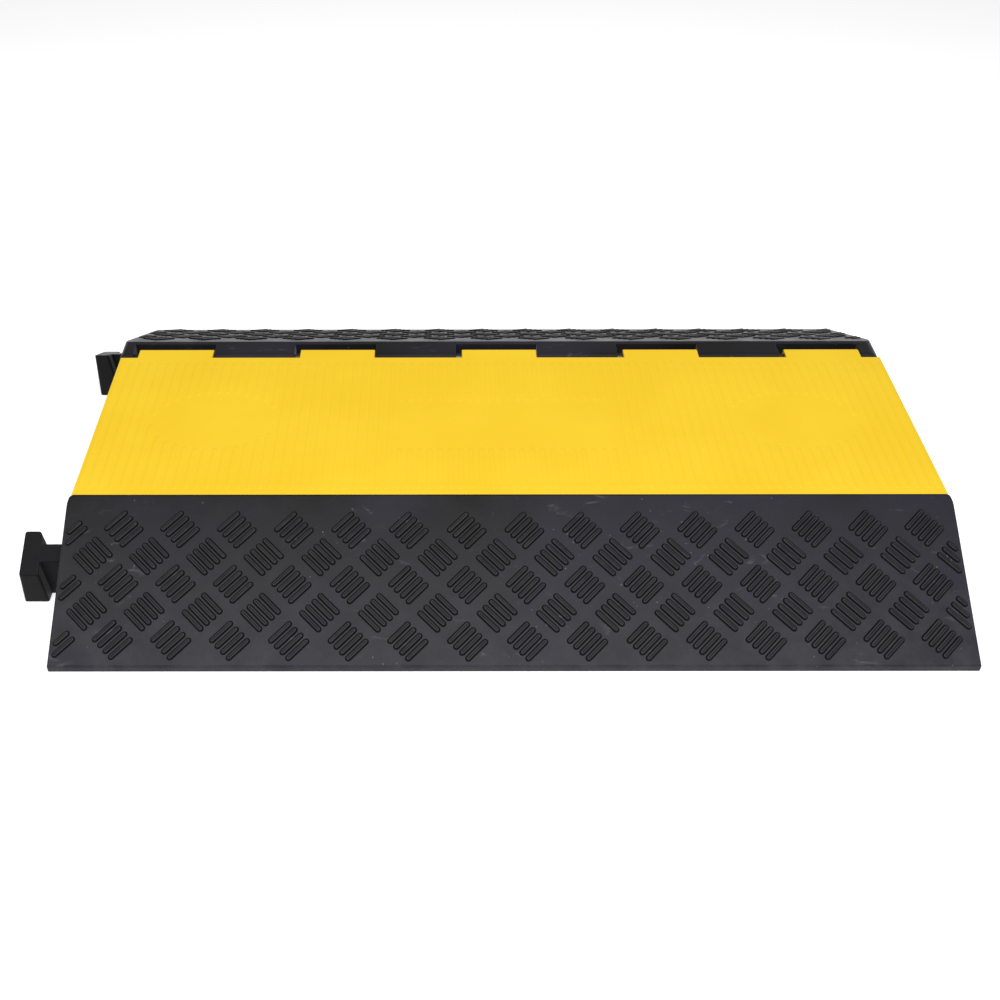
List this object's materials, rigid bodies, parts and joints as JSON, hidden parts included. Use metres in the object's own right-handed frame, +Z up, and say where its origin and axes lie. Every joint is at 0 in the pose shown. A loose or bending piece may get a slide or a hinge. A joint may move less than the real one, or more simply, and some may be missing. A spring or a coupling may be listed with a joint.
{
  "type": "cable protector ramp",
  "caption": "Low rubber ramp module that carries cables in through channels under a hinged yellow lid, with a treaded slope on each side and T links at its ends.",
  "frame": {"origin": "middle of the ramp body's underside, on the ground, half way between its two ends and half way between its front and rear edges", "axes": "+X along the cables, from the end with the T connectors to the end with the sockets; +Y from the front ramp to the rear ramp, where the lid is hinged; +Z up"},
  "size_m": [0.9472, 0.6, 0.09],
  "materials": {
    "base_rubber": "moulded satin black rubber with scuffs",
    "lid_yellow": "moulded signal yellow, finely ribbed, satin",
    "rod_steel": "bright drawn steel",
    "plug_rubber": "matte black rubber"
  },
  "bodies": {
    "base": {"ramp_base": "base_rubber", "hinge_rod": "rod_steel", "hinge_plug_left": "plug_rubber", "hinge_plug_right": "plug_rubber"},
    "lid": {"lid": "lid_yellow"}
  },
  "joints": [
    {"name": "lid_hinge", "type": "hinge", "parent": "base", "child": "lid", "pos_m": [0, 0.1195, 0.082], "axis": [-1, 0, 0], "range_deg": [0, 98]}
  ]
}
